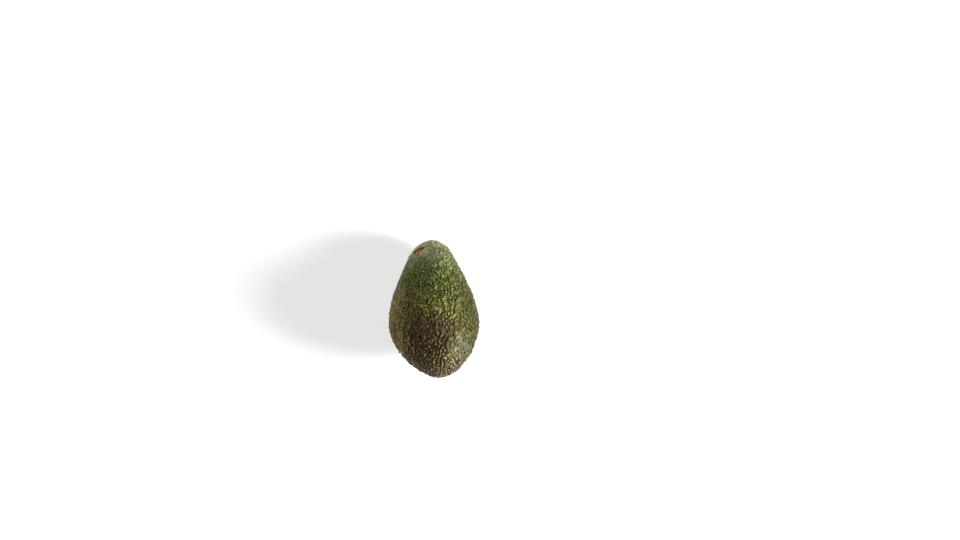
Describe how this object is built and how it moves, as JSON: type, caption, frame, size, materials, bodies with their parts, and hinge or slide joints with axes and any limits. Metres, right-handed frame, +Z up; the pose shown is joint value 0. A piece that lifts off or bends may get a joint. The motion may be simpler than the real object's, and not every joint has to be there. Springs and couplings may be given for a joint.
{
  "type": "avocado",
  "caption": "Whole avocado lying on its side, pear-shaped with a pebbled green and brown skin, the corky stem button seated in the scar on the shoulder of its neck",
  "frame": {"origin": "on the surface the fruit lies on, under the middle of its bounding box", "axes": "+Z up, +Y along the fruit from the blossom end to the neck, +X across it"},
  "size_m": [0.067, 0.1052, 0.0656],
  "materials": {
    "skin": "pebbled, waxy satin",
    "stem_cork": "dry, matte"
  },
  "bodies": {
    "root": {"avocado_fruit": "skin", "stem_button": "stem_cork"}
  },
  "joints": []
}
